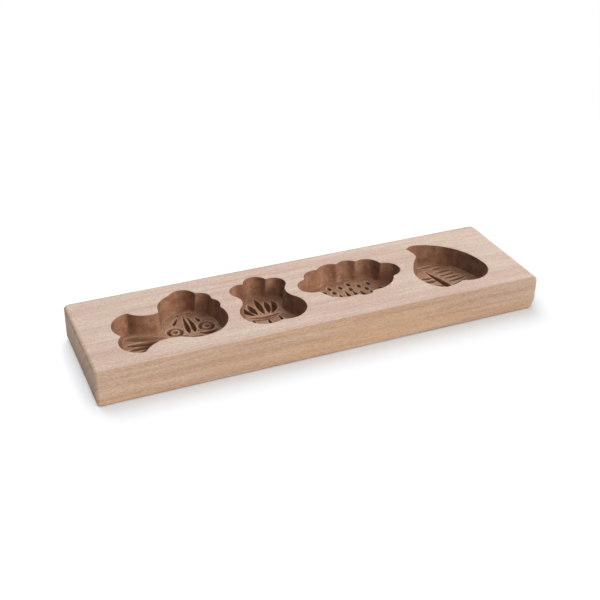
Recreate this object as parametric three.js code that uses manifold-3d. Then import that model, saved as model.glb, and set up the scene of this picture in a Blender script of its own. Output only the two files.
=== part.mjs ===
// A pastry mold: one block of wood with four carved cavities, a fish, a flower basket, a shell and a leaf.
// Millimetres. +X runs along the block from the fish to the leaf, +Y goes to the back and +Z up.
// The origin is under the middle of the block, on the face that it rests on.
import * as THREE from "three";
import { mergeVertices } from "three/addons/utils/BufferGeometryUtils.js";
import Module from "manifold-3d";

const wasm = await Module();
wasm.setup();

// Sizes of the block. Its length is the sum of the margins, the cavities and the bridges between them.
const BLOCK = {
  width: 87,
  height: 25,
  leftMargin: 22.1,
  rightMargin: 25,
  cornerRadius: 3, // of the four upright edges
  topEase: 0.6, // rounding of the long upper edges
  bottomEase: 1, // and of the long lower edges
};

// The ends are rounded by hand, most of all the right one. At each corner, the roundings of the end's upper
// and lower edge have a reach along the block and a rise up the end.
const RIGHT_CORNER = { topReach: 4.2, topRise: 4.2, lowReach: 6, lowRise: 9 };
const BACK_LEFT_CORNER = { topReach: 0.6, topRise: 0.6, lowReach: 4.5, lowRise: 4.5 };
const FRONT_LEFT_CORNER = { topReach: 0.6, topRise: 0.6, lowReach: 0.8, lowRise: 0.8 };
const CORNERS = [RIGHT_CORNER, BACK_LEFT_CORNER, FRONT_LEFT_CORNER, RIGHT_CORNER];

// Sizes that the four cavities share
const POCKET = {
  depth: 14, // from the top of the block to the carved floor
  draft: 3, // how far a wall leans in on its way down, so that the dough comes out
  cove: 1.2, // radius where a wall meets the floor
  rimEase: 0.4, // softened upper edge
  fluteReach: 7, // stretch of the outline over which the draft's direction is averaged
};

// One cut's overrun past the face that it starts from
const OVERRUN = 2;

// Counts of faces
const OUTLINE_STEPS = 96;
const EASE_STEPS = 5;
const CORNER_STEPS = 5;
const GOUGE_STATIONS = 6;
const GOUGE_SIDES = 6;
const RING_STEPS = 20;

// Shares of a gouge cut: where each kind is fullest, and how far a cut's widest level lies above the floor
const LENS_SHARE = 0.5;
const RIB_SHARE = 0.65;
const DROP_SHARE = 0.78;
const LIFT_SHARE = 0.2;

// How far the cusps between the scallops are softened, and the least share of a corner's radius
// that is left where an ease draws the corner in
const SOFTENING_SHARE = 0.5;
const LEAST_CORNER_SHARE = 0.25;

// The cavities from left to right. An outline row is the start of a round stretch, in shares of half the
// cavity's length and width, and the bulge of its arc, in shares of half its chord, outwards where positive.
// A cut's row is its start and its end, in the same shares, and its sideways bow in shares of its length.
const FISH = {
  length: 76.2,
  width: 65.4,
  offset: 0.6, // from the middle of the block, towards the back
  bridge: 7, // wood left between this cavity and the next
  outlineShares: [
    [-0.905, -0.285, 0.672],
    [-0.64, -1.003, -0.38],
    [0.095, -0.77, 0.735],
    [0.955, 0.05, 0.42],
    [0.9, 0.43, 0.58],
    [0.69, 0.75, 0.69],
    [0.225, 0.865, 0.345],
    [-0.095, 0.31, -0.35],
    [-0.61, 0.515, 0.595],
  ],
  cuts: [
    { width: 3, depth: 1.9, fullestShare: DROP_SHARE, shares: [
      [0.41, 0.65, 0.362, -0.025, 0],
      [0.463, 0.635, 0.46, -0.025, -0.05],
    ] },
    { width: 2.6, depth: 1.8, fullestShare: DROP_SHARE, shares: [
      [0.297, 0.62, 0.17, 0.375, 0],
      [0.61, 0.53, 0.65, 0.355, 0],
    ] },
    { width: 1.8, depth: 1.4, fullestShare: LENS_SHARE, shares: [
      [0.27, 0.69, 0.365, 0.73, 0],
      [0.485, 0.745, 0.585, 0.7, -0.1],
      [0.195, -0.045, 0.33, -0.1, 0.1],
      [0.28, -0.115, 0.59, -0.2, 0.08],
      [0.18, -0.355, 0.625, -0.355, 0.15],
      [0.245, -0.54, 0.56, -0.54, 0.15],
    ] },
    { width: 2.4, depth: 1.5, fullestShare: LENS_SHARE, shares: [
      [0.5, -0.06, 0.87, -0.13, 0.17],
    ] },
    { width: 3, depth: 1.6, fullestShare: LENS_SHARE, shares: [
      [-0.805, 0.075, -0.05, 0.01, 0],
      [-0.87, -0.115, -0.2, -0.145, 0],
      [-0.78, -0.4, -0.255, -0.245, 0],
      [-0.795, -0.66, -0.32, -0.355, 0],
    ] },
  ],
  eyes: { radius: 4.4, groove: 2.4, depth: 1.5, pupil: 1.3, shares: [
    [0.13, 0.112],
    [0.712, 0.122],
  ] },
};

const BASKET = {
  length: 46.3,
  width: 61.7,
  offset: 0.6,
  bridge: 3.2,
  outlineShares: [
    [0.04, -0.935, 0.745],
    [0.885, -0.15, -0.39],
    [0.845, 0.385, 0.78],
    [0.415, 0.8, 0.83],
    [-0.321, 0.775, 0.686],
    [-0.83, 0.36, -0.38],
    [-0.795, -0.1, 0.87],
  ],
  cuts: [
    { width: 3.5, depth: 2, fullestShare: LENS_SHARE, shares: [
      [-0.475, 0.53, -0.242, 0.088, 0.12],
      [-0.261, 0.615, -0.175, 0.112, 0.04],
      [0.032, 0.805, 0.014, 0.085, 0],
      [0.28, 0.62, 0.16, 0.1, -0.04],
      [0.505, 0.59, 0.22, 0.08, -0.165],
    ] },
    { width: 1.8, depth: 1.3, fullestShare: LENS_SHARE, shares: [
      [-0.52, 0.06, 0.49, 0.045, 0.1],
      [-0.425, -0.075, -0.43, -0.635, 0],
      [0.012, -0.13, 0.005, -0.735, 0],
      [0.388, -0.065, 0.43, -0.635, 0],
    ] },
    { width: 1.1, depth: 0.8, fullestShare: LENS_SHARE, shares: [
      [-0.475, -0.04, 0.385, -0.045, 0.12],
    ] },
  ],
};

const SHELL = {
  length: 78.4,
  width: 50.2,
  offset: 4.5,
  bridge: 4.4,
  outlineShares: [
    [-0.715, -0.37, 0.06],
    [-0.595, -0.735, 0.24],
    [-0.11, -0.88, 0.6],
    [0.185, -0.845, 0.345],
    [0.757, -0.32, 0.98],
    [0.735, 0.47, 0.57],
    [0.34, 0.825, 0.51],
    [-0.025, 0.88, 0.43],
    [-0.445, 0.785, 0.49],
    [-0.79, 0.415, 1.02],
  ],
  cuts: [
    { width: 3.2, depth: 1.8, fullestShare: DROP_SHARE, shares: [
      [-0.255, 0.65, -0.255, 0.475, 0],
      [-0.055, 0.6, -0.055, 0.425, 0],
      [0.134, 0.69, 0.134, 0.515, 0],
      [0.292, 0.51, 0.295, 0.335, 0],
      [0.49, 0.55, 0.497, 0.375, 0],
      [-0.395, 0.48, -0.4, 0.305, 0],
      [-0.23, 0.4, -0.23, 0.225, 0],
      [0.106, 0.43, 0.106, 0.255, 0],
      [0.39, 0.3, 0.393, 0.125, 0],
    ] },
    { width: 3.6, depth: 2, fullestShare: DROP_SHARE, shares: [
      [-0.47, 0.16, -0.525, -0.18, 0],
      [-0.295, 0.21, -0.34, -0.3, 0],
      [-0.155, 0.19, -0.19, -0.38, 0],
      [-0.012, 0.345, -0.03, -0.46, 0],
      [0.112, 0.24, 0.145, -0.38, 0],
      [0.233, 0.17, 0.29, -0.34, 0],
      [0.407, 0.08, 0.475, -0.26, 0],
      [0.63, 0.17, 0.69, -0.14, 0],
    ] },
  ],
};

const LEAF = {
  length: 55.4,
  width: 63.4,
  offset: -0.4,
  bridge: 0, // the last cavity has the right margin after it
  outlineShares: [
    [0, -0.865, 0.655],
    [0.975, -0.245, 0.31],
    [-0.14, 0.975, 0.33],
    [-0.56, 0.885, -0.14],
    [-0.491, 0.497, 0.08],
    [-0.92, -0.065, 0.4],
    [-0.57, -1, 0.13],
  ],
  cuts: [
    { width: 5, depth: 2.2, fullestShare: RIB_SHARE, shares: [
      [-0.21, 0.48, 0.1, -0.62, 0],
    ] },
    { width: 2.2, depth: 1.2, fullestShare: LENS_SHARE, shares: [
      [-0.345, 0.635, 0.105, 0.675, 0.03],
      [-0.02, 0.49, 0.295, 0.525, 0.03],
      [0.01, 0.33, 0.494, 0.355, 0.03],
      [0.05, 0.185, 0.51, 0.207, 0.03],
      [0.1, 0.042, 0.507, 0.066, 0.03],
      [0.129, -0.117, 0.505, -0.073, 0.03],
      [0.155, -0.305, 0.485, -0.2, 0.03],
      [0.185, -0.475, 0.48, -0.405, 0.03],
    ] },
    { width: 2.6, depth: 1.4, fullestShare: LENS_SHARE, shares: [
      [-0.485, 0.187, -0.195, 0.15, 0.03],
      [-0.5, 0.035, -0.16, 0.008, 0.03],
      [-0.5, -0.19, -0.095, -0.245, 0.03],
      [-0.455, -0.37, -0.075, -0.415, 0.03],
      [-0.37, -0.56, -0.045, -0.6, 0.03],
    ] },
  ],
};

const CAVITIES = [FISH, BASKET, SHELL, LEAF];
const CAVITY_RUN = CAVITIES.reduce((run, cavity) => run + cavity.length + cavity.bridge, 0);
const BLOCK_LENGTH = BLOCK.leftMargin + CAVITY_RUN + BLOCK.rightMargin;
const FLOOR_LEVEL = BLOCK.height - POCKET.depth;

const WOOD = new THREE.MeshStandardMaterial({ color: 0xd1baa8, roughness: 0.6, metalness: 0 });

// Neighbours in a closed ring of points
function at(points, index) {
  return points[(index + points.length) % points.length];
}

// The indices of a closed ring's triangles, all turning counter-clockwise seen from above
function capFaces(ring) {
  const flat = ring.map((point) => new THREE.Vector2(point.x, point.y));
  return THREE.ShapeUtils.triangulateShape(flat, []).map(([a, b, c]) => {
    const turn = flat[b].clone().sub(flat[a]).cross(flat[c].clone().sub(flat[a]));
    return turn > 0 ? [a, b, c] : [a, c, b];
  });
}

// A closed solid through rings of equally many points, listed upwards, each counter-clockwise
function loft(rings) {
  const count = rings[0].length;
  const positions = rings.flat().flatMap((point) => [point.x, point.y, point.z]);
  const index = [];
  for (let level = 0; level + 1 < rings.length; level += 1) {
    for (let i = 0; i < count; i += 1) {
      const a = level * count + i;
      const b = level * count + ((i + 1) % count);
      index.push(a, b, a + count, b, b + count, a + count);
    }
  }
  const topStart = (rings.length - 1) * count;
  for (const [a, b, c] of capFaces(rings[0])) {
    index.push(a, c, b);
  }
  for (const [a, b, c] of capFaces(rings[rings.length - 1])) {
    index.push(topStart + a, topStart + b, topStart + c);
  }
  const geometry = new THREE.BufferGeometry();
  geometry.setAttribute("position", new THREE.Float32BufferAttribute(positions, 3));
  geometry.setIndex(index);
  return geometry;
}

// A closed geometry as a solid that can be cut
function toSolid(geometry) {
  const bare = geometry.clone();
  bare.deleteAttribute("normal");
  bare.deleteAttribute("uv");
  const merged = mergeVertices(bare);
  return new wasm.Manifold(new wasm.Mesh({
    numProp: 3,
    vertProperties: new Float32Array(merged.attributes.position.array),
    triVerts: new Uint32Array(merged.index.array),
  }));
}

// A cut solid back as a geometry for the scene
function toGeometry(solid) {
  const { vertProperties, triVerts } = solid.getMesh();
  const geometry = new THREE.BufferGeometry();
  geometry.setAttribute("position", new THREE.BufferAttribute(vertProperties, 3));
  geometry.setIndex(new THREE.BufferAttribute(triVerts, 1));
  geometry.computeVertexNormals();
  return geometry;
}

// How far an elliptical rounding draws the section in, at a distance from the flat face that it starts from
function easeInset(reach, rise, distance) {
  const share = Math.max(1 - distance / rise, 0);
  return reach * (1 - Math.sqrt(1 - share * share));
}

// The block's section at one level. Its corners run from the back right one round to the front right one.
function blockRing(level) {
  const fromTop = BLOCK.height - level;
  const sideInset = easeInset(BLOCK.topEase, BLOCK.topEase, fromTop)
    + easeInset(BLOCK.bottomEase, BLOCK.bottomEase, level);
  const radius = Math.max(BLOCK.cornerRadius - sideInset, BLOCK.cornerRadius * LEAST_CORNER_SHARE);
  return CORNERS.flatMap((corner, index) => {
    const endInset = easeInset(corner.topReach, corner.topRise, fromTop)
      + easeInset(corner.lowReach, corner.lowRise, level);
    const x = BLOCK_LENGTH / 2 - endInset - radius;
    const y = BLOCK.width / 2 - sideInset - radius;
    const middle = (Math.PI / 2) * (index + 1 / 2);
    const points = [];
    for (let step = 0; step <= CORNER_STEPS; step += 1) {
      const angle = (Math.PI / 2) * (index + step / CORNER_STEPS);
      points.push(new THREE.Vector3(
        Math.sign(Math.cos(middle)) * x + radius * Math.cos(angle),
        Math.sign(Math.sin(middle)) * y + radius * Math.sin(angle),
        level,
      ));
    }
    return points;
  });
}

// The plain block: sections close together where its edges are rounded, and none between
function blockSolid() {
  const lowRise = Math.max(...CORNERS.map((corner) => corner.lowRise));
  const topRise = Math.max(...CORNERS.map((corner) => corner.topRise));
  const lower = [];
  const upper = [];
  for (let step = 0; step <= EASE_STEPS; step += 1) {
    const share = 1 - Math.cos((Math.PI / 2) * (step / EASE_STEPS));
    lower.push(blockRing(lowRise * share));
    upper.unshift(blockRing(BLOCK.height - topRise * share));
  }
  return toSolid(loft([...lower, ...upper]));
}

// A place in a cavity, given in shares of half its length and width
function placeIn(cavity, centreX, [shareX, shareY]) {
  return new THREE.Vector2(
    centreX + (shareX * cavity.length) / 2,
    cavity.offset + (shareY * cavity.width) / 2,
  );
}

// A circular arc between two points, counter-clockwise where the bulge is positive
function bulgedArc(start, end, bulgeShare) {
  const sweep = 4 * Math.atan(bulgeShare);
  const chord = end.clone().sub(start);
  const radius = chord.length() / (2 * Math.sin(sweep / 2));
  const toCentre = new THREE.Vector2(-chord.y, chord.x).normalize();
  toCentre.multiplyScalar(radius * Math.cos(sweep / 2));
  const centre = start.clone().add(end).divideScalar(2).add(toCentre);
  const from = Math.atan2(start.y - centre.y, start.x - centre.x);
  return new THREE.EllipseCurve(
    centre.x, centre.y, Math.abs(radius), Math.abs(radius), from, from + sweep, sweep < 0,
  );
}

// A cavity's rim, seen from above: evenly spaced points along its scallops
function rimOutline(cavity, centreX) {
  const corners = cavity.outlineShares.map((row) => placeIn(cavity, centreX, row));
  const outline = new THREE.CurvePath();
  cavity.outlineShares.forEach((row, i) => {
    outline.add(bulgedArc(corners[i], at(corners, i + 1), row[2]));
  });
  const points = outline.getSpacedPoints(OUTLINE_STEPS).slice(0, OUTLINE_STEPS);
  return points.map((point, i) => {
    const beside = at(points, i - 1).clone().add(at(points, i + 1)).divideScalar(2);
    return point.clone().lerp(beside, SOFTENING_SHARE);
  });
}

// The outline moved inwards, the same way over a whole scallop, so that the walls keep their flutes
function drawnIn(outline, distance) {
  const spacing = outline[0].distanceTo(outline[1]);
  const reach = Math.max(1, Math.round(POCKET.fluteReach / spacing));
  return outline.map((point, i) => {
    const along = at(outline, i + reach).clone().sub(at(outline, i - reach));
    const inwards = new THREE.Vector2(-along.y, along.x).normalize();
    return point.clone().addScaledVector(inwards, distance);
  });
}

// One cavity as the solid that its cut removes: floor, cove, drafted wall and eased rim
function pocketSolid(outline) {
  const ring = (distance, level) => drawnIn(outline, distance)
    .map((point) => new THREE.Vector3(point.x, point.y, level));
  const halfCove = POCKET.cove * (1 - Math.SQRT1_2);
  return toSolid(loft([
    ring(POCKET.draft + POCKET.cove, FLOOR_LEVEL),
    ring(POCKET.draft + halfCove, FLOOR_LEVEL + halfCove),
    ring(POCKET.draft, FLOOR_LEVEL + POCKET.cove),
    ring(POCKET.rimEase, BLOCK.height - POCKET.rimEase),
    ring(0, BLOCK.height),
    ring(0, BLOCK.height + OVERRUN),
  ]));
}

// How full a cut is at one share of its length, from a tip to its fullest place and on to the other tip
function fullness(share, fullestShare) {
  return share < fullestShare
    ? Math.sin((Math.PI / 2) * (share / fullestShare))
    : Math.cos((Math.PI / 2) * ((share - fullestShare) / (1 - fullestShare)));
}

// A gouge's cut in the floor: pointed at both ends, widest and deepest in its fullest place
function gougeSolid(start, end, bowShare, cut) {
  const side = new THREE.Vector2(end.y - start.y, start.x - end.x).multiplyScalar(bowShare * 2);
  const middle = start.clone().add(end).divideScalar(2).add(side);
  const path = new THREE.QuadraticBezierCurve(start, middle, end);
  const level = FLOOR_LEVEL + cut.depth * LIFT_SHARE;
  const positions = [start.x, start.y, level];
  for (let station = 1; station < GOUGE_STATIONS; station += 1) {
    const share = station / GOUGE_STATIONS;
    const full = fullness(share, cut.fullestShare);
    const point = path.getPoint(share);
    const tangent = path.getTangent(share);
    for (let corner = 0; corner < GOUGE_SIDES; corner += 1) {
      const angle = (Math.PI * 2 * corner) / GOUGE_SIDES - Math.PI / 2;
      const across = (Math.cos(angle) * cut.width * full) / 2;
      const up = Math.sin(angle) * cut.depth * (1 + LIFT_SHARE) * full;
      positions.push(point.x - tangent.y * across, point.y + tangent.x * across, level + up);
    }
  }
  positions.push(end.x, end.y, level);
  return toSolid(spindle(positions, GOUGE_STATIONS - 1));
}

// A closed solid from a first tip, rings of points around it and a last tip
function spindle(positions, rings) {
  const last = 1 + rings * GOUGE_SIDES;
  const index = [];
  for (let i = 0; i < GOUGE_SIDES; i += 1) {
    const next = (i + 1) % GOUGE_SIDES;
    index.push(0, 1 + next, 1 + i);
    for (let ring = 0; ring + 1 < rings; ring += 1) {
      const a = 1 + ring * GOUGE_SIDES;
      const b = a + GOUGE_SIDES;
      index.push(a + i, a + next, b + i, a + next, b + next, b + i);
    }
    const end = last - GOUGE_SIDES;
    index.push(end + i, end + next, last);
  }
  const geometry = new THREE.BufferGeometry();
  geometry.setAttribute("position", new THREE.Float32BufferAttribute(positions, 3));
  geometry.setIndex(index);
  return geometry;
}

// An eye: a ring groove round a boss, with a pupil pricked in the middle of the boss
function eyeSolids(place, eyes) {
  const ring = new THREE.TorusGeometry(eyes.radius, eyes.groove / 2, GOUGE_SIDES, RING_STEPS);
  ring.scale(1, 1, eyes.depth / (eyes.groove / 2));
  const pupil = new THREE.SphereGeometry(eyes.pupil, GOUGE_SIDES * 2, GOUGE_SIDES);
  return [ring, pupil].map((geometry) => {
    geometry.translate(place.x, place.y, FLOOR_LEVEL);
    return toSolid(geometry);
  });
}

// Everything that one cavity's carving removes
function cavitySolids(cavity, centreX) {
  const solids = [pocketSolid(rimOutline(cavity, centreX))];
  for (const cut of cavity.cuts) {
    for (const [startX, startY, endX, endY, bowShare] of cut.shares) {
      const start = placeIn(cavity, centreX, [startX, startY]);
      const end = placeIn(cavity, centreX, [endX, endY]);
      solids.push(gougeSolid(start, end, bowShare, cut));
    }
  }
  if (cavity.eyes) {
    for (const row of cavity.eyes.shares) {
      solids.push(...eyeSolids(placeIn(cavity, centreX, row), cavity.eyes));
    }
  }
  return solids;
}

// The carved block
function moldBlock() {
  let solid = blockSolid();
  let leftEdge = BLOCK.leftMargin - BLOCK_LENGTH / 2;
  for (const cavity of CAVITIES) {
    for (const removed of cavitySolids(cavity, leftEdge + cavity.length / 2)) {
      solid = solid.subtract(removed);
    }
    leftEdge += cavity.length + cavity.bridge;
  }
  const mesh = new THREE.Mesh(toGeometry(solid), WOOD);
  mesh.name = "mold_block";
  return mesh;
}

const mold = new THREE.Group();
mold.add(moldBlock());

export default mold;
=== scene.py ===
"""A carved wooden pastry mold with a fish, a flower basket, a shell and a leaf, on a white studio floor."""

import math

import bpy
import numpy as np
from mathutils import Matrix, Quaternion, Vector, noise
from mathutils.geometry import delaunay_2d_cdt


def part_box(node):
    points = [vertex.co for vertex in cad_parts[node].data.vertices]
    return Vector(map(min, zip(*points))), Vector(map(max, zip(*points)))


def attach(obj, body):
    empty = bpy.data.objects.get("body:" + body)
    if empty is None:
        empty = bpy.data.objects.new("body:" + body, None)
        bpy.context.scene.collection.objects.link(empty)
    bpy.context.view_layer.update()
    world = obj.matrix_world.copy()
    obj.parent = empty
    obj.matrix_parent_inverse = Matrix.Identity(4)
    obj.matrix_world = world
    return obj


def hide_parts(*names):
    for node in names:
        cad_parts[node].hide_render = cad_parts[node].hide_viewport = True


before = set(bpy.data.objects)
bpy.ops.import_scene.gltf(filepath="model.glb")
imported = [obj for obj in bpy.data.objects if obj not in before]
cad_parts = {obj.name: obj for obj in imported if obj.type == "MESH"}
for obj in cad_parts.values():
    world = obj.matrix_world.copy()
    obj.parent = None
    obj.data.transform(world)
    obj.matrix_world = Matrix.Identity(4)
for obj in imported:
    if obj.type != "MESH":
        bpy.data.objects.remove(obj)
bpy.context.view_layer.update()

MM = 0.001  # a millimetre in metres: lengths below are millimetres unless their name ends in _M or _m

# Block: its length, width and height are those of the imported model
BLOCK_LOW, BLOCK_HIGH = (np.array(corner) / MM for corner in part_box("mold_block"))
LENGTH, WIDTH, HEIGHT = BLOCK_HIGH - BLOCK_LOW
LEFT_MARGIN = 22.1
TOP_EASE = 0.9
BOTTOM_EASE = 1
SIDE_START = 3  # the long sides' tone begins this far in from them
SIDE_FULL = 1  # and is complete this far in

# The ends' hand-made rounding at each corner: its reach along the block and its rise up the end, for the
# end's upper and for its lower edge. Corners run from the back right one round to the front right one.
RIGHT_CORNER = {"radius": 3, "top_reach": 4.2, "top_rise": 4.2, "low_reach": 6, "low_rise": 9}
BACK_LEFT_CORNER = {"radius": 5, "top_reach": 0.9, "top_rise": 0.9, "low_reach": 4.5, "low_rise": 4.5}
FRONT_LEFT_CORNER = {"radius": 2, "top_reach": 0.7, "top_rise": 0.7, "low_reach": 2, "low_rise": 2.5}
CORNERS = [RIGHT_CORNER, BACK_LEFT_CORNER, FRONT_LEFT_CORNER, RIGHT_CORNER]

# What the four cavities share
DEPTH = 14
DRAFT = 3
DRAFT_ALONG = 0.65  # walls that face along the block lean in less, by this factor
COVE = 1.4
RIM_EASE = 0.3
RIM_WEAR = 1.5  # how far down from the rim its wear shows
FLUTE_REACH = 7
FLUTE_FADE_SHARE = 0.7  # how far the cusps between the scallops have gone where a wall meets the floor
FLUTE_FADE_POWER = 1.3
SHOULDER = 1.1  # width of the soft slope beside a cut
SHOULDER_DEPTH = 0.3
RIDGE_HIGHLIGHT_REACH = 0.9  # how far from a cut its edge gets a painted highlight
RIDGE_LOWEST = 0.1  # a ridge lies no deeper than this
DARKEST_DEPTH = 1.7  # cuts this deep get the darkest painted shade

# Tool marks, in layers of noise: the size of a mark, its height, and a number that sets the layer apart
FLOOR_MARKS = [(7, 0.15, 0), (1.9, 0.09, 5)]
FLOOR_CALM = 3  # the floor's marks fade out over this distance from the wall
WALL_MARKS = [(1.6, 0.11, 3), (4.5, 0.22, 9)]
WALL_MARKS_SHARE = 1 / 3  # how far down a wall its marks are complete
WALL_SWELL_SHARE = 0.4  # marks on a wall swell and shrink by this share on their way down
WALL_SWELL_TURN = 1.9  # radians of that swell for each millimetre of depth

# Mesh: spacings, counts, and how finely points and triangles are told apart
RIM_STEP = 0.58  # along a cavity's rim
ARC_STEP = RIM_STEP / 4
FLOOR_STEP = 0.6  # over a cavity's floor
SEED_GAP = FLOOR_STEP * 0.3  # between two points of the cuts
GRID_GAP = FLOOR_STEP * 0.55  # between a point of the plain floor and one of a cut
WALL_GAP = FLOOR_STEP * 0.5  # between a point of the floor and the wall
TOP_STEP = 4  # over the block's top
EDGE_STEP = 3  # along the block's edges
SUPPORT = 0.7  # a ring of faces this wide keeps a flat face flat beside a rounded edge
WALL_RINGS = 10
ROUND_STEPS = 4
EASE_STEPS = 12
CORNER_STEPS = 6
CUSP_PASSES = 4  # softening of the rim's cusps
FADE_PASSES = 40  # softening of the outline that the flutes fade into
LEAST_POINTS = 8  # on an arc or a circle
LEAST_ROWS = 6  # along a cut
WALL_SKIP = 3  # every so many points of the wall, to measure how far off it is
POINTS_AT_ONCE = 2000  # measured together, to save memory
CREASE_ANGLE = math.radians(38)  # edges sharper than this stay crisp
TINY = 1e-6  # the least length that is told from none
TINY_AREA = 1e-7  # triangles about as small as this are left out

# How a cut's depth falls off from its middle to its edges: a power of the share of half its width
ROUND_CUT = 3
GENTLE_CUT = 2
SOFT_CUT = 1.3

# Shares of a gouge cut: where each kind is fullest. A cut's "blunt" is below 1 where its tips are blunt.
DIVIDER_SHARE = 0.25
TAIL_SHARE = 0.35
LENS_SHARE = 0.5
RIB_SHARE = 0.65
DROP_SHARE = 0.78
TIP_POWER = 0.5  # a cut gets shallow towards its tips more slowly than it gets narrow
CUT_SEED_SHARES = (-1, -0.8, -0.4, 0, 0.4, 0.8, 1)  # the places of points across half its width

# An eye is a ring groove round a boss, on which a pupil and a shallow glint are pricked
EYE_SLANT = np.array([0.9, -0.436])  # the direction across the ring's two deep sides
EYE_LEAST_SHARE = 0.4  # of the ring's depth, between those sides
EYE_NARROW_SHARE = 0.6  # of the ring's width, where it would have no depth
EYE_POWER = 1.5
EYE_PUPIL_SHIFT = 0.5  # from the boss's middle, one way along the slant
EYE_GLINT_SHIFT = 1.7  # and the other way
EYE_GLINT_RADIUS = 0.9
EYE_GLINT_DEPTH = 0.35
EYE_SEED_SHARES = (-1, -0.7, -0.35, 0, 0.35, 0.7, 1)  # the same for half the ring's width

# The cavities from left to right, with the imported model's outlines and finer cuts. An outline row is the
# start of a round stretch, in shares of half the length and width, and its arc's bulge in shares of half
# its chord. A cut's row is its start and its end in the same shares, and its sideways bow in shares of its
# length.
FISH = {
    "length": 76.2,
    "width": 65.4,
    "offset": 0.6,
    "bridge": 7,
    "outline_shares": [
        (-0.905, -0.285, 0.672),
        (-0.64, -1.003, -0.38),
        (0.095, -0.77, 0.735),
        (0.955, 0.05, 0.42),
        (0.9, 0.43, 0.58),
        (0.69, 0.75, 0.69),
        (0.225, 0.865, 0.345),
        (-0.095, 0.31, -0.35),
        (-0.61, 0.515, 0.595),
    ],
    "cuts": [
        {"width": 3.3, "depth": 1.9, "fullest": DROP_SHARE, "shares": [
            (0.41, 0.65, 0.362, -0.025, 0),
            (0.463, 0.635, 0.46, -0.025, -0.05),
        ]},
        {"width": 2.6, "depth": 1.8, "fullest": DROP_SHARE, "shares": [
            (0.297, 0.62, 0.17, 0.375, 0),
            (0.61, 0.53, 0.65, 0.355, 0),
        ]},
        {"width": 1.8, "depth": 1.4, "fullest": LENS_SHARE, "shares": [
            (0.27, 0.69, 0.365, 0.73, 0),
            (0.485, 0.745, 0.585, 0.7, -0.1),
            (0.195, -0.045, 0.33, -0.1, 0.1),
            (0.28, -0.115, 0.59, -0.2, 0.08),
            (0.18, -0.355, 0.625, -0.355, 0.15),
            (0.245, -0.54, 0.56, -0.54, 0.15),
        ]},
        {"width": 3.2, "depth": 1.6, "fullest": LENS_SHARE, "shares": [
            (0.5, -0.06, 0.9, -0.05, 0.17),
        ]},
        {"width": 6, "depth": 0.85, "fullest": TAIL_SHARE, "blunt": 0.4, "shares": [
            (-0.74, 0.22, -0.06, -0.03, 0),
        ]},
        {"width": 4.3, "depth": 2.4, "fullest": RIB_SHARE, "blunt": 0.5, "section": GENTLE_CUT, "shares": [
            (-0.78, -0.03, -0.13, -0.12, 0),
            (-0.76, -0.21, -0.25, -0.185, 0),
            (-0.68, -0.39, -0.3, -0.27, 0),
        ]},
    ],
    "eyes": {"radius": 4.4, "groove": 2.8, "depth": 1.6, "pupil": 1.5, "pupil_depth": 1.7, "shares": [
        (0.13, 0.112),
        (0.712, 0.122),
    ]},
}

BASKET = {
    "length": 46.3,
    "width": 61.7,
    "offset": 0.6,
    "bridge": 3.2,
    "outline_shares": [
        (0.04, -0.935, 0.745),
        (0.885, -0.15, -0.39),
        (0.845, 0.385, 0.78),
        (0.415, 0.8, 0.83),
        (-0.321, 0.775, 0.686),
        (-0.83, 0.36, -0.38),
        (-0.795, -0.1, 0.87),
    ],
    "cuts": [
        {"width": 4.3, "depth": 2, "fullest": LENS_SHARE, "shares": [
            (-0.5, 0.6, -0.242, 0.088, 0.12),
            (-0.261, 0.615, -0.175, 0.112, 0.04),
            (0.032, 0.805, 0.014, 0.085, 0),
            (0.28, 0.62, 0.16, 0.1, -0.04),
            (0.49, 0.62, 0.22, 0.09, -0.145),
        ]},
        {"width": 2.9, "depth": 1.3, "fullest": LENS_SHARE, "blunt": 0.6, "section": GENTLE_CUT, "shares": [
            (-0.52, 0.06, 0.49, 0.045, 0.1),
        ]},
        {"width": 2, "depth": 1.7, "fullest": DIVIDER_SHARE, "blunt": 0.8, "shares": [
            (-0.425, -0.03, -0.43, -0.6, 0),
            (0.012, -0.1, 0.005, -0.7, 0),
            (0.388, -0.05, 0.43, -0.6, 0),
        ]},
        {"width": 1.6, "depth": 0.9, "fullest": LENS_SHARE, "blunt": 0.6, "shares": [
            (-0.475, -0.04, 0.385, -0.045, 0.12),
        ]},
    ],
}

SHELL = {
    "length": 78.4,
    "width": 50.2,
    "offset": 4.5,
    "bridge": 4.4,
    "outline_shares": [
        (-0.715, -0.37, 0.06),
        (-0.595, -0.735, 0.24),
        (-0.11, -0.88, 0.6),
        (0.185, -0.845, 0.345),
        (0.757, -0.32, 0.98),
        (0.735, 0.47, 0.57),
        (0.34, 0.825, 0.51),
        (-0.025, 0.88, 0.43),
        (-0.445, 0.785, 0.49),
        (-0.79, 0.415, 1.02),
    ],
    "cuts": [
        {"width": 3.2, "depth": 1.8, "fullest": DROP_SHARE, "shares": [
            (-0.255, 0.65, -0.255, 0.475, 0),
            (-0.055, 0.6, -0.055, 0.425, 0),
            (0.134, 0.69, 0.134, 0.515, 0),
            (0.292, 0.51, 0.295, 0.335, 0),
            (0.49, 0.55, 0.497, 0.375, 0),
            (-0.395, 0.48, -0.4, 0.305, 0),
            (-0.23, 0.4, -0.23, 0.225, 0),
            (0.106, 0.43, 0.106, 0.255, 0),
            (0.39, 0.3, 0.393, 0.125, 0),
        ]},
        {"width": 3.6, "depth": 2, "fullest": DROP_SHARE, "shares": [
            (-0.47, 0.16, -0.525, -0.18, 0),
            (-0.295, 0.21, -0.34, -0.3, 0),
            (-0.155, 0.19, -0.19, -0.38, 0),
            (-0.012, 0.345, -0.03, -0.46, 0),
            (0.112, 0.24, 0.145, -0.38, 0),
            (0.233, 0.17, 0.29, -0.34, 0),
            (0.407, 0.08, 0.475, -0.26, 0),
            (0.63, 0.17, 0.69, -0.14, 0),
        ]},
    ],
}

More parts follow.
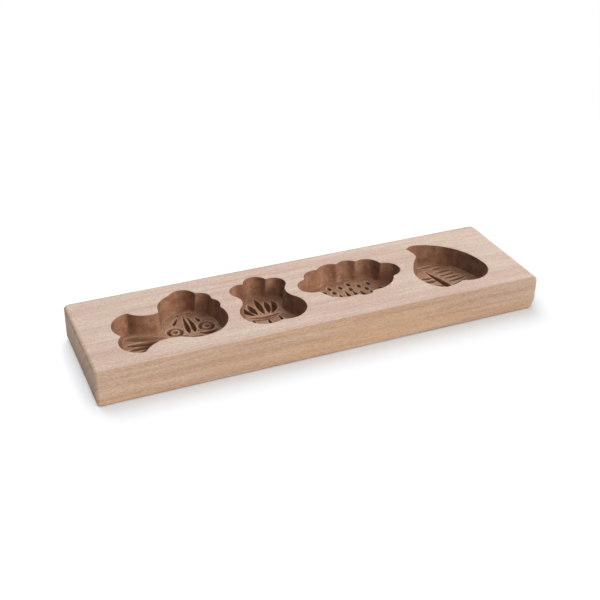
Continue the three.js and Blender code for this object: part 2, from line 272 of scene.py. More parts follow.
LEAF = {
    "length": 55.4,
    "width": 63.4,
    "offset": -0.4,
    "bridge": 0,
    "outline_shares": [
        (0, -0.865, 0.655),
        (0.975, -0.245, 0.31),
        (-0.14, 0.975, 0.33),
        (-0.56, 0.885, -0.14),
        (-0.491, 0.497, 0.08),
        (-0.92, -0.065, 0.4),
        (-0.57, -1, 0.13),
    ],
    "cuts": [
        {"width": 5, "depth": 2.2, "fullest": RIB_SHARE, "shares": [
            (-0.21, 0.48, 0.1, -0.62, 0),
        ]},
        {"width": 2.6, "depth": 1.4, "fullest": LENS_SHARE, "blunt": 0.45, "section": SOFT_CUT, "shares": [
            (-0.345, 0.635, 0.105, 0.675, 0.03),
            (-0.02, 0.49, 0.295, 0.525, 0.03),
            (0.01, 0.33, 0.494, 0.355, 0.03),
            (0.05, 0.185, 0.51, 0.207, 0.03),
            (0.1, 0.042, 0.58, 0.07, 0.03),
            (0.129, -0.117, 0.66, -0.055, 0.03),
            (0.155, -0.29, 0.6, -0.17, 0.03),
            (0.185, -0.475, 0.48, -0.405, 0.03),
        ]},
        {"width": 3.3, "depth": 1.8, "fullest": LENS_SHARE, "blunt": 0.5, "section": GENTLE_CUT, "shares": [
            (-0.485, 0.187, -0.195, 0.15, 0.03),
            (-0.5, 0.035, -0.16, 0.008, 0.03),
            (-0.5, -0.19, -0.095, -0.245, 0.03),
            (-0.455, -0.37, -0.075, -0.415, 0.03),
            (-0.37, -0.56, -0.045, -0.6, 0.03),
        ]},
    ],
}

CAVITIES = [FISH, BASKET, SHELL, LEAF]


def linear(code):
    """A colour written as six hexadecimal digits, in linear light."""
    parts = [int(code[i:i + 2], 16) / 255 for i in (0, 2, 4)]
    return (*(p / 12.92 if p <= 0.04045 else ((p + 0.055) / 1.055) ** 2.4 for p in parts), 1)


# Wood: the grain runs along X, and the heart of the tree lies in front of the board and far below it
HEART_Y = -115
HEART_Z = -75
RING_WIDTH = 3.6
RING_LENGTH = 130  # along the board, over which a ring's strength changes
RING_DRIFT = 9  # how far the rings wander from true circles
NOISE_MIDDLE = 0.5

# Marks in the wood: their length along the board and their width, the detail and roughness of their noise,
# and the values of that noise over which they come in. Some darken and lighten the wood by factors.
DRIFT = {"length": 200, "width": 40, "detail": 2, "roughness": 0.5}
LATE = {"detail": 4, "roughness": 0.62, "from": 0.42, "to": 0.68}
BROAD = {"length": 110, "width": 14, "detail": 2, "roughness": 0.5, "from": 0.35, "to": 0.65}
STREAK = {
    "length": 38, "width": 2.1, "detail": 3, "roughness": 0.6, "from": 0.25, "to": 0.75,
    "darkest": 0.93, "lightest": 1.08,
}
FIBRE = {
    "length": 9, "width": 0.75, "detail": 3, "roughness": 0.6, "from": 0.25, "to": 0.75,
    "darkest": 0.95, "lightest": 1.05,
}
FUZZ = {
    "length": 1.5, "width": 0.42, "detail": 2, "roughness": 0.6, "from": 0.25, "to": 0.75,
    "darkest": 0.76, "lightest": 1.24,
}
PORE = {"length": 3, "width": 0.34, "detail": 1, "roughness": 0.4, "from": 0.66, "to": 0.76}
PATCH = {"length": 9, "width": 6, "detail": 3, "roughness": 0.6, "from": 0.42, "to": 0.72}
BLOTCH = {"detail": 4, "roughness": 0.6, "from": 0.3, "to": 0.7}
BLOTCHES_PER_MM = (0.16, 0.16, 0.13)  # round a wall, in two numbers, and down it

# Tones outside: on top, on the long sides and across the ends, with late wood's share of each
TOP_WOOD = linear("d6c1af")
TOP_BLUSH = linear("ceb1a1")
TOP_LATE = linear("c3a08c")
TOP_LATE_SHARE = 0.44
SIDE_WOOD = linear("cfb098")
SIDE_GOLD = linear("cea988")
SIDE_LATE = linear("b58f76")
SIDE_LATE_SHARE = 0.55
END_WOOD = linear("a98c74")
END_LATE = linear("94745e")
END_LATE_SHARE = 0.8
END_START = 3  # the ends' tone begins this far in from them
END_FULL = 0.6  # and is complete this far in

# Outside, painted light and shade on the long sides, and the ends darker towards the bottom: factors from
# the bottom edge to the top one, and from the middle to the right end
END_TONE_UP = (0.8, 1.12)
END_TONE_MARGIN = 1  # how far from the ends' edges the factors are reached
SIDE_PAINTED_LIGHT_UP = (1.03, 0.96)
SIDE_PAINTED_LIGHT_MARGIN = 2  # the same for the long sides
SIDE_PAINTED_SHADE_ALONG = (1, 0.95)
RIM_WEAR_SHARE = 0.12

# Tones inside. Up-facing highlight and across are the limits of how far a surface faces up, or along the
# board.
CARVED_WOOD = linear("b08869")
CARVED_RED = linear("9d6a4f")
CARVED_DARK = linear("6b4b3d")
CARVED_DARK_SHARE = 0.55
# painted shade in the cuts, the darker the deeper they are
GROOVE_SHADE = linear("573722")
GROOVE_SHADE_SHARE = 0.92
# painted highlight, on the ridges beside the cuts and on carved surfaces that face up
HIGHLIGHT_WOOD = linear("d6b89c")
RIDGE_HIGHLIGHT_SHARE = 0.7
# carved surfaces that face up get a painted highlight
UP_FACING_HIGHLIGHT = (0.6, 0.95)
UP_FACING_HIGHLIGHT_SHARE = 0.06
ACROSS = (0.6, 0.97)
END_GRAIN_AND_SHADE = (0.55, 0.6, 0.72, 1)  # factors for walls cut across the grain: darker end grain, and painted shade
PORE_WOOD = linear("785a47")
PORE_SHARE = 0.25

# Surface of the wood
ROUGHNESS = (0.56, 0.68)
ROUGHNESS_FIBRES = (0.3, 0.7)
FIBRE_HEIGHT_SHARE = 0.5
FUZZ_HEIGHT_SHARE = 0.4
PORE_DEPTH_SHARE = 0.6
BUMP_STRENGTH = 0.4
BUMP_HEIGHT_M = 0.00012
SHEEN = 0.25

# Floor and room
FLOOR_SIZE_M = 8
FLOOR_NEAR_M = 0.3  # from here outwards the floor is seen as more and more white
FLOOR_FAR_M = 0.6  # and from here on as white as the room
FLOOR_SEEN = (0.886, 0.912, 0.93, 1)
FLOOR_GREY = (0.72, 0.72, 0.72, 1)  # what the floor sends back to the block, less than a white one would
WHITE = (1, 1, 1, 1)
ROOM_TINT = (0.95, 1, 1.08, 1)  # the shade is a little bluish
ROOM_LIGHT = 0.11

# Lamps: a level is the light on a surface at the block that faces the lamp, and a lamp that is only for one
# piece lights that piece alone. The first one throws the block's shadow to the front.
LAMPS = [
    {
        "name": "back", "level": 0.66,
        "place_m": (0.35, 2.8, 2.6), "size_m": (5.4, 5.4),
    },
    {
        "name": "back, for the block", "only": "block", "level": 0.125,
        "place_m": (0.4, 3.2, 2.97), "size_m": (5.4, 5.4),
    },
    {
        "name": "back right", "only": "block", "level": 0.26,
        "place_m": (2.6, 2.2, 2.6), "size_m": (2.6, 2.6),
    },
    {
        "name": "front right", "only": "block", "level": 0.72,
        "place_m": (4.8, -4.2, 3.5), "size_m": (4.2, 4.2),
    },
    {
        "name": "front", "only": "block", "level": 0.13,
        "place_m": (-1.2, -3.4, 2.8), "size_m": (3, 3),
    },
    {
        "name": "over the floor", "only": "floor", "level": 2.03,
        "place_m": (-0.3, 0, 2.2), "size_m": (6.5, 2.6),
    },
]

# Camera, as fitted to the block's edges in the photograph
CAMERA_PLACE_M = Vector((-0.25802, -0.57489, 0.38960))
CAMERA_AIM_M = Vector((-0.00138, 0.00932, 0.0125))
CAMERA_ROLL = math.radians(0.784)
CAMERA_LENS = 63.83
CAMERA_SENSOR = 36
CAMERA_NEAR_M = 0.01


class Mesh:
    """Points in millimetres, faces, and what the material reads at each point."""

    def __init__(self):
        self.points = []
        self.faces = []
        self.values = {"carved": [], "groove": [], "ridge": [], "side": [], "rim": [], "round": []}

    def add(self, points, **values):
        """Adds points and returns their numbers. A value is one number, or one for each point."""
        first = len(self.points)
        self.points.extend(tuple(point) for point in points)
        for name, kept in self.values.items():
            blank = (0, 0, 0) if name == "round" else 0
            given = values.get(name, blank)
            many = isinstance(given, (list, np.ndarray)) and len(given) == len(points)
            kept.extend(given if many else [given] * len(points))
        return np.arange(first, first + len(points))

    def band(self, lower, upper):
        """Quads between two closed rings, listed the same way round."""
        for i in range(len(lower)):
            j = (i + 1) % len(lower)
            self.faces.append((lower[i], lower[j], upper[j], upper[i]))

    def fill(self, loops, loose, keep, facing_down=False):
        """Triangles over the flat region between closed loops, through loose points. keep says where."""
        numbers = np.concatenate([*loops, loose]).astype(int)
        flat = np.array([self.points[n][:2] for n in numbers])
        edges = []
        first = 0
        for loop in loops:
            edges += [(first + i, first + (i + 1) % len(loop)) for i in range(len(loop))]
            first += len(loop)
        made = delaunay_2d_cdt([Vector(p) for p in flat], edges, [], 0, TINY, True)
        points, triangles, origins = np.array([tuple(v) for v in made[0]]), np.array(made[2]), made[3]
        corners = points[triangles]
        turn = np.cross(corners[:, 1] - corners[:, 0], corners[:, 2] - corners[:, 0])
        for triangle, wanted, area in zip(triangles, keep(corners.mean(1)), turn):
            if wanted and abs(area) > TINY_AREA:
                a, b, c = (numbers[origins[corner][0]] for corner in triangle)
                self.faces.append((a, b, c) if (area > 0) != facing_down else (a, c, b))

    def build(self, name, material):
        """The mesh as a Blender object, smooth but for its crisp edges."""
        data = bpy.data.meshes.new(name)
        points = (np.array(self.points) * MM).tolist()
        data.from_pydata(points, [], [tuple(map(int, face)) for face in self.faces])
        for value, kept in self.values.items():
            if value == "round":
                layer = data.attributes.new(value, "FLOAT_VECTOR", "POINT")
                layer.data.foreach_set("vector", np.array(kept, np.float32).ravel())
            else:
                layer = data.attributes.new(value, "FLOAT", "POINT")
                layer.data.foreach_set("value", np.array(kept, np.float32))
        data.shade_smooth()
        data.set_sharp_from_angle(angle=CREASE_ANGLE)
        data.materials.append(material)
        piece = bpy.data.objects.new(name, data)
        bpy.context.scene.collection.objects.link(piece)
        return piece


def inside(polygon, points):
    """Which points lie inside a closed polygon."""
    x, y = points[:, 0], points[:, 1]
    found = np.zeros(len(points), bool)
    for (x0, y0), (x1, y1) in zip(polygon, np.roll(polygon, -1, 0)):
        if y0 != y1:
            found ^= ((y0 > y) != (y1 > y)) & (x < (x1 - x0) * (y - y0) / (y1 - y0) + x0)
    return found


def circle_points(middle, radius, angles):
    """Points on a circle at the given angles."""
    return middle + radius * np.column_stack([np.cos(angles), np.sin(angles)])


def grid_points(low, high, step):
    """The points of a square grid from one corner up to another."""
    return np.stack(np.meshgrid(
        np.arange(low[0], high[0], step),
        np.arange(low[1], high[1], step),
    ), -1).reshape(-1, 2)


def tool_marks(points, layers):
    """How far a gouge's marks push the surface at each point."""
    return np.array([
        sum(height * noise.noise(Vector((x / size, y / size, apart))) for size, height, apart in layers)
        for x, y in points
    ])


def place_in(cavity, centre_x, shares):
    """A place in a cavity, given in shares of half its length and width."""
    return np.array([
        centre_x + shares[0] * cavity["length"] / 2,
        cavity["offset"] + shares[1] * cavity["width"] / 2,
    ])


def bulged_arc(start, end, bulge):
    """Points along a circular arc from start up to, but without, end."""
    sweep = 4 * math.atan(bulge)
    chord = end - start
    span = np.hypot(*chord)
    radius = span / (2 * math.sin(sweep / 2))
    centre = (start + end) / 2 + np.array([-chord[1], chord[0]]) / span * radius * math.cos(sweep / 2)
    first = math.atan2(start[1] - centre[1], start[0] - centre[0])
    count = max(LEAST_POINTS, int(abs(radius * sweep) / ARC_STEP))
    return circle_points(centre, abs(radius), first + sweep * np.arange(count) / count)


def evenly(points, step):
    """A closed line with its points spread evenly, and its length."""
    closed = np.vstack([points, points[:1]])
    along = np.concatenate([[0], np.cumsum(np.hypot(*np.diff(closed, axis=0).T))])
    count = round(along[-1] / step)
    wanted = np.arange(count) * along[-1] / count
    return np.column_stack([np.interp(wanted, along, closed[:, axis]) for axis in (0, 1)]), along[-1]


def softened(points, times):
    """A closed line with its cusps rounded."""
    for _ in range(times):
        points = points / 2 + (np.roll(points, 1, 0) + np.roll(points, -1, 0)) / 4
    return points


def rim_outline(cavity, centre_x):
    """A cavity's rim, evenly spaced, and its length."""
    rows = cavity["outline_shares"]
    corners = [place_in(cavity, centre_x, row) for row in rows]
    arcs = [
        bulged_arc(corner, corners[(i + 1) % len(rows)], rows[i][2])
        for i, corner in enumerate(corners)
    ]
    points, _ = evenly(np.vstack(arcs), RIM_STEP)
    return evenly(softened(points, CUSP_PASSES), RIM_STEP)


def inwards(outline):
    """The draft's direction at each point, averaged over a whole scallop so that the flutes are kept."""
    reach = round(FLUTE_REACH / RIM_STEP)
    along = np.roll(outline, -reach, 0) - np.roll(outline, reach, 0)
    return np.column_stack([-along[:, 1], along[:, 0]]) / np.hypot(*along.T)[:, None]


def wall_profile():
    """Inset and depth down a wall, from the rim's rounding to the cove, and its share of the tool marks."""
    rows = []
    for step in range(1, ROUND_STEPS + 1):
        angle = math.pi / 2 * step / ROUND_STEPS
        rows.append((RIM_EASE * math.sin(angle), RIM_EASE * (1 - math.cos(angle)), 0))
    for ring in range(1, WALL_RINGS + 1):
        share = ring / WALL_RINGS
        inset = RIM_EASE + (DRAFT - RIM_EASE) * share
        depth = RIM_EASE + (DEPTH - COVE - RIM_EASE) * share
        rows.append((inset, depth, min(1, share / WALL_MARKS_SHARE)))
    for step in range(1, ROUND_STEPS + 1):
        angle = math.pi / 2 * step / ROUND_STEPS
        inset = DRAFT + COVE * (1 - math.cos(angle))
        rows.append((inset, DEPTH - COVE + COVE * math.sin(angle), 1 - step / ROUND_STEPS))
    return rows


def fullness(share, fullest):
    """How full a cut is along its length, from tip to tip."""
    return np.where(
        share < fullest,
        np.sin(math.pi / 2 * share / fullest),
        np.cos(math.pi / 2 * (share - fullest) / (1 - fullest)),
    )


class Cut:
    """A gouge's cut in a floor: pointed at both ends, widest and deepest in its fullest place."""

    STATIONS = 60

    def __init__(self, start, end, bow, size):
        middle = (start + end) / 2 + np.array([end[1] - start[1], start[0] - end[0]]) * bow * 2
        self.shares = np.linspace(0, 1, self.STATIONS)
        s = self.shares[:, None]
        self.path = start * (1 - s) ** 2 + middle * 2 * s * (1 - s) + end * s ** 2
        tangent = (middle - start) * (1 - s) + (end - middle) * s
        tangent /= np.hypot(*tangent.T)[:, None]
        self.across = np.column_stack([-tangent[:, 1], tangent[:, 0]])
        self.full = fullness(self.shares, size["fullest"]) ** size.get("blunt", 1)
        self.half = size["width"] / 2
        self.depth = size["depth"]
        self.section = size.get("section", ROUND_CUT)

    def reach_at(self, points):
        """How deep the cut is at each point, and how far each point lies outside it."""
        gaps = np.sqrt(((points[:, None] - self.path[None]) ** 2).sum(2))
        half = self.half * self.full
        nearest = np.argmin(gaps - half, 1)
        off = gaps[np.arange(len(points)), nearest]
        share = np.clip(off / np.maximum(half[nearest], TINY), 0, 1)
        depth = self.depth * self.full[nearest] ** TIP_POWER * (1 - share ** self.section)
        return depth, np.maximum(off - half[nearest], 0)

    def seeds(self):
        """Points on the cut's edges and inside it, so that it is crisp in the mesh."""
        length = np.hypot(*np.diff(self.path, axis=0).T).sum()
        count = max(LEAST_ROWS, round(length / FLOOR_STEP))
        rows = np.unique(np.round(np.linspace(0, self.STATIONS - 1, count)).astype(int))
        return np.vstack([
            self.path[rows] + self.across[rows] * (share * self.half * self.full[rows])[:, None]
            for share in CUT_SEED_SHARES
        ])


def eye_reach(points, place, eyes):
    """Depth of an eye, a ring groove round a boss with a pupil, and how far each point lies outside it.

    The ring is deepest on its two sides, the pupil is pricked a little off the boss's middle, and a shallow
    glint lies on the pupil's other side.
    """
    from_middle = points - place
    far = np.hypot(*from_middle.T)
    sideways = np.abs(from_middle @ EYE_SLANT) / np.maximum(far, TINY)
    strength = EYE_LEAST_SHARE + (1 - EYE_LEAST_SHARE) * sideways ** EYE_POWER
    half = eyes["groove"] / 2 * (EYE_NARROW_SHARE + (1 - EYE_NARROW_SHARE) * strength)
    ring = np.clip(np.abs(far - eyes["radius"]) / half, 0, 1)
    pupil = np.clip(np.hypot(*(from_middle - EYE_PUPIL_SHIFT * EYE_SLANT).T) / eyes["pupil"], 0, 1)
    glint = np.clip(np.hypot(*(from_middle + EYE_GLINT_SHIFT * EYE_SLANT).T) / EYE_GLINT_RADIUS, 0, 1)
    depth = eyes["depth"] * strength * (1 - ring ** ROUND_CUT)
    depth = depth + eyes["pupil_depth"] * (1 - pupil ** ROUND_CUT)
    depth = depth + EYE_GLINT_DEPTH * (1 - glint ** GENTLE_CUT)
    beside = np.maximum(np.abs(far - eyes["radius"]) - half, 0)
    return depth, np.where(pupil < 1, 0, beside)


def eye_seeds(place, eyes):
    """Rings of points for an eye."""
    points = [place[None]]
    pupil = eyes["pupil"]
    radii = [pupil / 2, pupil, pupil + FLOOR_STEP]
    radii += [eyes["radius"] + eyes["groove"] / 2 * share for share in EYE_SEED_SHARES]
    for radius in radii:
        count = max(LEAST_POINTS, round(2 * math.pi * radius / FLOOR_STEP))
        points.append(circle_points(place, radius, 2 * math.pi * np.arange(count) / count))
    return np.vstack(points)


def spaced_from(points, others, distance):
    """The points that keep a distance from all the others."""
    kept = np.ones(len(points), bool)
    for first in range(0, len(points), POINTS_AT_ONCE):
        part = slice(first, first + POINTS_AT_ONCE)
        gaps = ((points[part, None] - others[None]) ** 2).sum(2).min(1)
        kept[part] = gaps > distance ** 2
    return points[kept]


def spread_out(points, distance):
    """The points thinned so that no two lie closer than a distance."""
    kept = []
    cells = {}
    for point in points:
        cell = (int(point[0] // distance), int(point[1] // distance))
        around = [cells.get((cell[0] + i, cell[1] + j), []) for i in (-1, 0, 1) for j in (-1, 0, 1)]
        if all(np.hypot(*(point - other)) >= distance for group in around for other in group):
            cells.setdefault(cell, []).append(point)
            kept.append(point)
    return np.array(kept)


def floor_points(seeds, outline):
    """Points over a floor: those of its cuts, and a grid in staggered rows between them."""
    low, high = outline.min(0), outline.max(0)
    grid = grid_points(low, high, FLOOR_STEP)
    odd = np.round((grid[:, 1] - low[1]) / FLOOR_STEP) % 2 > 0
    grid[:, 0] += np.where(odd, FLOOR_STEP / 2, 0)
    points = np.vstack([seeds, spaced_from(grid, seeds, GRID_GAP)])
    points = points[inside(outline, points)]
    return spaced_from(points, outline, WALL_GAP)


def carve_floor(mesh, cavity, centre_x, ring):
    """The grooved floor inside a wall's lowest ring."""
    outline = np.array([mesh.points[n][:2] for n in ring])
    cuts = []
    for size in cavity["cuts"]:
        for row in size["shares"]:
            start = place_in(cavity, centre_x, row[:2])
            end = place_in(cavity, centre_x, row[2:4])
            cuts.append(Cut(start, end, row[4], size))
    seeds = [cut.seeds() for cut in cuts]
    eyes = cavity.get("eyes")
    eye_places = [place_in(cavity, centre_x, row) for row in eyes["shares"]] if eyes else []
    seeds += [eye_seeds(place, eyes) for place in eye_places]
    points = floor_points(spread_out(np.vstack(seeds), SEED_GAP), outline)
    depth = np.zeros(len(points))
    beside = np.full(len(points), np.inf)
    reaches = [cut.reach_at(points) for cut in cuts]
    reaches += [eye_reach(points, place, eyes) for place in eye_places]
    for deep, away in reaches:
        depth = np.maximum(depth, deep)
        beside = np.minimum(beside, away)
    from_wall = np.sqrt(((points[:, None] - outline[None, ::WALL_SKIP]) ** 2).sum(2).min(1))
    marks = tool_marks(points, FLOOR_MARKS) * np.clip(from_wall / FLOOR_CALM, 0, 1)
    shoulder = SHOULDER_DEPTH * np.clip(1 - beside / SHOULDER, 0, 1) ** 2
    level = HEIGHT - DEPTH - np.maximum(depth, shoulder) + marks
    # a painted highlight along each cut's edge, on the floor beside it
    ridge = np.clip(1 - np.abs(beside - RIDGE_HIGHLIGHT_REACH / 2) / (RIDGE_HIGHLIGHT_REACH / 2), 0, 1) * (depth < RIDGE_LOWEST)
    # a cut's groove value sets its painted shade, by its depth
    loose = mesh.add(
        np.column_stack([points, level]),
        carved=1, groove=np.clip(depth / DARKEST_DEPTH, 0, 1).tolist(), ridge=ridge.tolist(),
    )
    mesh.fill([ring], loose, lambda centres: inside(outline, centres))


def carve_cavity(mesh, cavity, centre_x):
    """Rim, wall, cove and floor of a cavity. Returns the ring on the top face around it."""
    rim, around = rim_outline(cavity, centre_x)
    faded = softened(rim, FADE_PASSES)
    direction = inwards(rim) * (DRAFT_ALONG, 1)
    turn = 2 * math.pi * np.arange(len(rim)) / len(rim)
    round_place = circle_points(0, around / (2 * math.pi), turn)
    marks = tool_marks(rim, WALL_MARKS)

    def ring(inset, depth, tooling, **values):
        shake = tooling * marks * (1 + WALL_SWELL_SHARE * math.sin(depth * WALL_SWELL_TURN))
        fade = FLUTE_FADE_SHARE * min(1, max(0, depth) / DEPTH) ** FLUTE_FADE_POWER
        flat = rim * (1 - fade) + faded * fade + direction * (inset + shake)[:, None]
        level = np.full(len(rim), HEIGHT - depth)
        place = np.column_stack([round_place, level])
        return mesh.add(np.column_stack([flat, level]), round=place.tolist(), **values)

    support = ring(-SUPPORT, 0, 0)
    upper = ring(0, 0, 0, rim=1)
    mesh.band(upper, support)
    for inset, depth, tooling in wall_profile():
        wear_and_painted_light = max(0, 1 - depth / RIM_WEAR)
        lower = ring(inset, depth, tooling, carved=min(1, depth / RIM_EASE), rim=wear_and_painted_light)
        mesh.band(lower, upper)
        upper = lower
    carve_floor(mesh, cavity, centre_x, upper)
    return support


def ease_inset(reach, rise, distance):
    """How far an elliptical rounding draws the section in, at a distance from the flat face beside it."""
    share = max(1 - distance / rise, 0)
    return reach * (1 - math.sqrt(1 - share ** 2))


def block_ring(level, drawn=0):
    """The block's section at one level, counter-clockwise, with points all along its sides."""
    from_top = HEIGHT - level
    side = ease_inset(TOP_EASE, TOP_EASE, from_top) + ease_inset(BOTTOM_EASE, BOTTOM_EASE, level) + drawn
    arcs = []
    for index, corner in enumerate(CORNERS):
        radius = corner["radius"] - side / 2
        end = ease_inset(corner["top_reach"], corner["top_rise"], from_top) + drawn
        end += ease_inset(corner["low_reach"], corner["low_rise"], level)
        middle = math.pi / 2 * (index + 1 / 2)
        centre = np.array([
            math.copysign(LENGTH / 2 - end - radius, math.cos(middle)),
            math.copysign(WIDTH / 2 - side - radius, math.sin(middle)),
        ])
        angles = math.pi / 2 * (index + np.arange(CORNER_STEPS + 1) / CORNER_STEPS)
        arcs.append(circle_points(centre, radius, angles))
    points = []
    for index, arc in enumerate(arcs):
        start, end = arc[-1], arcs[(index + 1) % len(arcs)][0]
        count = round((WIDTH if index % 2 else LENGTH) / EDGE_STEP)
        points += [arc, start + (end - start) * np.arange(1, count)[:, None] / count]
    points = np.vstack(points)
    return np.column_stack([points, np.full(len(points), level)])


def block_levels():
    """Levels of the block's sections: close together where its edges are rounded."""
    low = max(corner["low_rise"] for corner in CORNERS)
    top = max(corner["top_rise"] for corner in CORNERS)
    steps = 1 - np.cos(math.pi / 2 * np.arange(EASE_STEPS + 1) / EASE_STEPS)
    return np.concatenate([low * steps, [(low + HEIGHT - top) / 2], (HEIGHT - top * steps)[::-1]])


def block_body(mesh):
    """The block's underside, sides and eased edges. Returns the outermost ring of the top face."""
    lower = mesh.add(block_ring(0, SUPPORT))
    mesh.fill([lower], [], lambda centres: np.ones(len(centres), bool), facing_down=True)
    for level in block_levels():
        points = block_ring(level)
        from_side = WIDTH / 2 - np.abs(points[:, 1])
        side = np.clip((SIDE_START - from_side) / (SIDE_START - SIDE_FULL), 0, 1)
        near_top = np.clip(1 - (HEIGHT - level) / TOP_EASE, 0, 1)
        upper = mesh.add(points, side=side.tolist(), rim=near_top)
        mesh.band(lower, upper)
        lower = upper
    border = mesh.add(block_ring(HEIGHT, SUPPORT))
    mesh.band(lower, border)
    return border


def top_face(mesh, border, rings):
    """The planed top between the block's edges and the cavities' rims."""
    outer = np.array([mesh.points[n][:2] for n in border])
    holes = [np.array([mesh.points[n][:2] for n in ring]) for ring in rings]
    corner = np.array([LENGTH, WIDTH]) / 2
    grid = grid_points(TOP_STEP - corner, corner, TOP_STEP)
    grid = grid[inside(outer, grid)]
    for hole in holes:
        grid = grid[~inside(hole, grid)]
        grid = spaced_from(grid, hole, TOP_STEP / 2)
    loose = mesh.add(np.column_stack([grid, np.full(len(grid), HEIGHT)]))

    def on_top(centres):
        kept = inside(outer, centres)
        for hole in holes:
            kept &= ~inside(hole, centres)
        return kept

    mesh.fill([border, *rings], loose, on_top)


def carved_block(material):
    """The whole mold in one piece of wood."""
    mesh = Mesh()
    border = block_body(mesh)
    rings = []
    left = LEFT_MARGIN - LENGTH / 2
    for cavity in CAVITIES:
        rings.append(carve_cavity(mesh, cavity, left + cavity["length"] / 2))
        left += cavity["length"] + cavity["bridge"]
    top_face(mesh, border, rings)
    return mesh.build("carved_block", material)


class Nodes:
    """A short way to lay out a material's or a world's nodes."""

    def __init__(self, tree):
        self.tree = tree
        tree.nodes.clear()

    def add(self, kind, inputs=None, **settings):
        made = self.tree.nodes.new(kind)
        for name, value in settings.items():
            setattr(made, name, value)
        for name, value in (inputs or {}).items():
            self.set(made, name, value)
        return made

    def set(self, made, name, value):
        if isinstance(value, bpy.types.NodeSocket):
            self.tree.links.new(value, made.inputs[name])
        else:
            made.inputs[name].default_value = value

    def value(self, name, output="Fac"):
        """What the mesh says at each point."""
        return self.add("ShaderNodeAttribute", attribute_name=name).outputs[output]

    def math(self, operation, a, b=0.0, clamp=False):
        return self.add("ShaderNodeMath", {0: a, 1: b}, operation=operation, use_clamp=clamp).outputs[0]

    def vector(self, operation, a, b):
        return self.add("ShaderNodeVectorMath", {0: a, 1: b}, operation=operation).outputs[0]

    def length(self, place):
        return self.add("ShaderNodeVectorMath", {0: place}, operation="LENGTH").outputs["Value"]

    def noise(self, place, kind):
        inputs = {"Vector": place, "Scale": 1, "Detail": kind["detail"], "Roughness": kind["roughness"]}
        return self.add("ShaderNodeTexNoise", inputs).outputs[0]

    def marks(self, place, kind):
        """The noise of long marks in the wood."""
        per_mm = (1 / kind["length"], 1 / kind["width"], 1 / kind["width"])
        return self.noise(self.vector("MULTIPLY", place, per_mm), kind)

    def spread(self, value, low, high, to_low=0.0, to_high=1.0, smooth=True):
        """A value's range turned into another range."""
        inputs = {0: value, 1: low, 2: high, 3: to_low, 4: to_high}
        kind = "SMOOTHSTEP" if smooth else "LINEAR"
        return self.add("ShaderNodeMapRange", inputs, interpolation_type=kind).outputs[0]

    def coming_in(self, value, kind):
        """How far a kind of mark has come in, from 0 to 1."""
        return self.spread(value, kind["from"], kind["to"])

    def darkening(self, value, kind):
        """The factor by which a kind of mark darkens or lightens the wood."""
        return self.spread(value, kind["from"], kind["to"], kind["darkest"], kind["lightest"], False)

    def mix(self, share, a, b, blend="MIX"):
        made = self.add("ShaderNodeMix", data_type="RGBA", blend_type=blend)
        for place, value in ((0, share), (6, a), (7, b)):
            self.set(made, place, value)
        return made.outputs[2]

    def mix_share(self, share, value, a, b):
        """Two colours mixed by a share of a value."""
        return self.mix(self.math("MULTIPLY", value, share), a, b)

    def times(self, colour, factor):
        """A colour multiplied by a number."""
        grey = self.add("ShaderNodeCombineColor", {0: factor, 1: factor, 2: factor}).outputs[0]
        return self.mix(1.0, colour, grey, "MULTIPLY")


def late_wood(nodes, place, apart):
    """Growth rings round the heart, of uneven width and strength, drifting a little along the board."""
    wander = nodes.math("SUBTRACT", nodes.marks(place, DRIFT), NOISE_MIDDLE)
    from_heart = nodes.vector("SUBTRACT", place, (0, HEART_Y, HEART_Z))
    radius = nodes.length(nodes.vector("MULTIPLY", from_heart, (0, 1, 1)))
    radius = nodes.math("ADD", radius, nodes.math("MULTIPLY", wander, RING_DRIFT))
    ring_place = nodes.add("ShaderNodeCombineXYZ", {
        0: nodes.math("DIVIDE", apart["X"], RING_LENGTH),
        1: nodes.math("DIVIDE", radius, RING_WIDTH),
    })
    return nodes.coming_in(nodes.noise(ring_place.outputs[0], LATE), LATE)


def outside_wood(nodes, place, apart):
    """Pinkish beige on top, more golden on the long sides, greyer across the ends and darker low on them.
    """
    late = late_wood(nodes, place, apart)
    broad = nodes.coming_in(nodes.marks(place, BROAD), BROAD)
    top = nodes.mix_share(TOP_LATE_SHARE, late, nodes.mix(broad, TOP_WOOD, TOP_BLUSH), TOP_LATE)
    flank = nodes.mix_share(SIDE_LATE_SHARE, late, nodes.mix(broad, SIDE_WOOD, SIDE_GOLD), SIDE_LATE)
    cross = nodes.mix_share(END_LATE_SHARE, late, END_WOOD, END_LATE)
    # the ends get darker towards the bottom
    darker_to_foot = nodes.spread(apart["Z"], END_TONE_MARGIN, HEIGHT - END_TONE_MARGIN, *END_TONE_UP)
    cross = nodes.times(cross, darker_to_foot)
    # painted light and shade on the long sides: paler low down, darker high up and towards the right end
    wear_and_painted_light = nodes.spread(apart["Z"], SIDE_PAINTED_LIGHT_MARGIN, HEIGHT - SIDE_PAINTED_LIGHT_MARGIN, *SIDE_PAINTED_LIGHT_UP)
    wear_and_painted_light = nodes.math("MULTIPLY", wear_and_painted_light, nodes.spread(apart["X"], 0, LENGTH / 2, *SIDE_PAINTED_SHADE_ALONG))
    end = nodes.spread(nodes.math("ABSOLUTE", apart["X"]), LENGTH / 2 - END_START, LENGTH / 2 - END_FULL)
    return nodes.mix(nodes.value("side"), nodes.mix(end, top, cross), nodes.times(flank, wear_and_painted_light))


